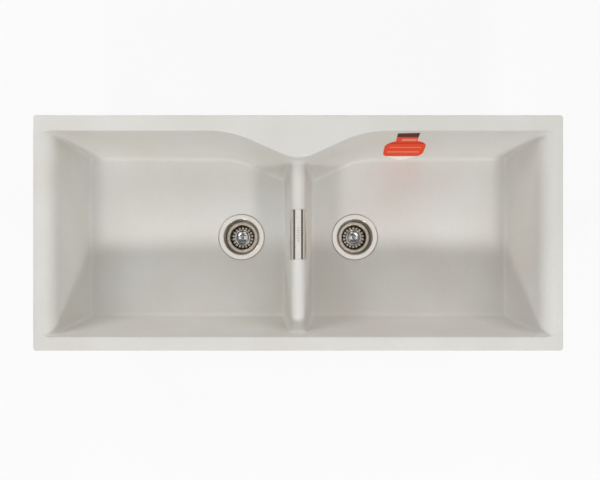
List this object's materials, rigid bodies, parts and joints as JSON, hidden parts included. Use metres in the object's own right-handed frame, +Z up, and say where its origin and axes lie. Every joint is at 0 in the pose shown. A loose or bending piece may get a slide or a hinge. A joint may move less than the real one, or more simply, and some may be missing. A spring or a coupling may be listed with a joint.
{
  "type": "kitchen sink",
  "caption": "Top-mounted composite kitchen sink with twin bowls, a bell-shaped tap ledge, rounded low divider with overflow saddle, lift-out basket wastes and rim clamps.",
  "frame": {"origin": "middle of the rim's underside, which lies on the worktop", "axes": "+X to the right along the sink, +Y to the back where the tap ledge is, +Z up"},
  "size_m": [1.143, 0.508, 0.3031],
  "materials": {
    "composite": "matt quartz composite, very fine grain",
    "polished_steel": "polished stainless",
    "brushed_steel": "satin stainless",
    "chrome": "bright chrome",
    "rubber": "matt black",
    "foam": "closed-cell foam",
    "pale_plastic": "moulded polypropylene",
    "black_plastic": "moulded polypropylene",
    "zinc_steel": "zinc plated",
    "brass": "turned",
    "label": "plain printed paper, no lettering"
  },
  "bodies": {
    "sink": {"sink_body": "composite", "rim_seal": "foam", "peel_off_label": "label", "overflow_cover": "polished_steel", "overflow_collector": "black_plastic", "overflow_gaskets": "rubber", "collector_screws": "zinc_steel", "overflow_pipe": "pale_plastic", "overflow_pipe_seal": "rubber", "overflow_pipe_nut": "black_plastic", "overflow_blanking_cap": "black_plastic", "clamp_inserts": "brass", "clamp_studs": "zinc_steel", "left_cup": "polished_steel", "left_flange_seal": "rubber", "left_waste_seal": "rubber", "left_waste_insert": "brass", "left_centre_screw": "zinc_steel", "left_waste": "pale_plastic", "right_cup": "polished_steel", "right_flange_seal": "rubber", "right_waste_seal": "rubber", "right_waste_insert": "brass", "right_centre_screw": "zinc_steel", "right_waste": "pale_plastic"},
    "left_strainer": {"left_basket": "brushed_steel", "left_stopper": "rubber", "left_stem": "zinc_steel", "left_stem_clip": "zinc_steel", "left_knob": "chrome"},
    "right_strainer": {"right_basket": "brushed_steel", "right_stopper": "rubber", "right_stem": "zinc_steel", "right_stem_clip": "zinc_steel", "right_knob": "chrome"},
    "back_left_nut_set": {"back_left_washer": "zinc_steel", "back_left_nut": "zinc_steel"},
    "back_left_clamp_arm": {"back_left_arm": "zinc_steel"},
    "back_right_nut_set": {"back_right_washer": "zinc_steel", "back_right_nut": "zinc_steel"},
    "back_right_clamp_arm": {"back_right_arm": "zinc_steel"},
    "front_left_nut_set": {"front_left_washer": "zinc_steel", "front_left_nut": "zinc_steel"},
    "front_left_clamp_arm": {"front_left_arm": "zinc_steel"},
    "front_right_nut_set": {"front_right_washer": "zinc_steel", "front_right_nut": "zinc_steel"},
    "front_right_clamp_arm": {"front_right_arm": "zinc_steel"}
  },
  "joints": [
    {"name": "left_strainer_lift", "type": "slide", "parent": "sink", "child": "left_strainer", "axis": [0, 0, 1], "range_m": [0, 0.28]},
    {"name": "right_strainer_lift", "type": "slide", "parent": "sink", "child": "right_strainer", "axis": [0, 0, 1], "range_m": [0, 0.28]},
    {"name": "back_left_clamp_tighten", "type": "slide", "parent": "sink", "child": "back_left_nut_set", "axis": [0, 0, 1], "range_m": [0, 0.022]},
    {"name": "back_left_arm_swing", "type": "hinge", "parent": "back_left_nut_set", "child": "back_left_clamp_arm", "pos_m": [-0.4, 0.236, -0.05525], "axis": [0, 0, 1], "range_deg": [0, 90]},
    {"name": "back_right_clamp_tighten", "type": "slide", "parent": "sink", "child": "back_right_nut_set", "axis": [0, 0, 1], "range_m": [0, 0.022]},
    {"name": "back_right_arm_swing", "type": "hinge", "parent": "back_right_nut_set", "child": "back_right_clamp_arm", "pos_m": [0.4, 0.236, -0.05525], "axis": [0, 0, -1], "range_deg": [0, 90]},
    {"name": "front_left_clamp_tighten", "type": "slide", "parent": "sink", "child": "front_left_nut_set", "axis": [0, 0, 1], "range_m": [0, 0.022]},
    {"name": "front_left_arm_swing", "type": "hinge", "parent": "front_left_nut_set", "child": "front_left_clamp_arm", "pos_m": [-0.4, -0.238, -0.05525], "axis": [0, 0, -1], "range_deg": [0, 90]},
    {"name": "front_right_clamp_tighten", "type": "slide", "parent": "sink", "child": "front_right_nut_set", "axis": [0, 0, 1], "range_m": [0, 0.022]},
    {"name": "front_right_arm_swing", "type": "hinge", "parent": "front_right_nut_set", "child": "front_right_clamp_arm", "pos_m": [0.4, -0.238, -0.05525], "axis": [0, 0, 1], "range_deg": [0, 90]}
  ]
}
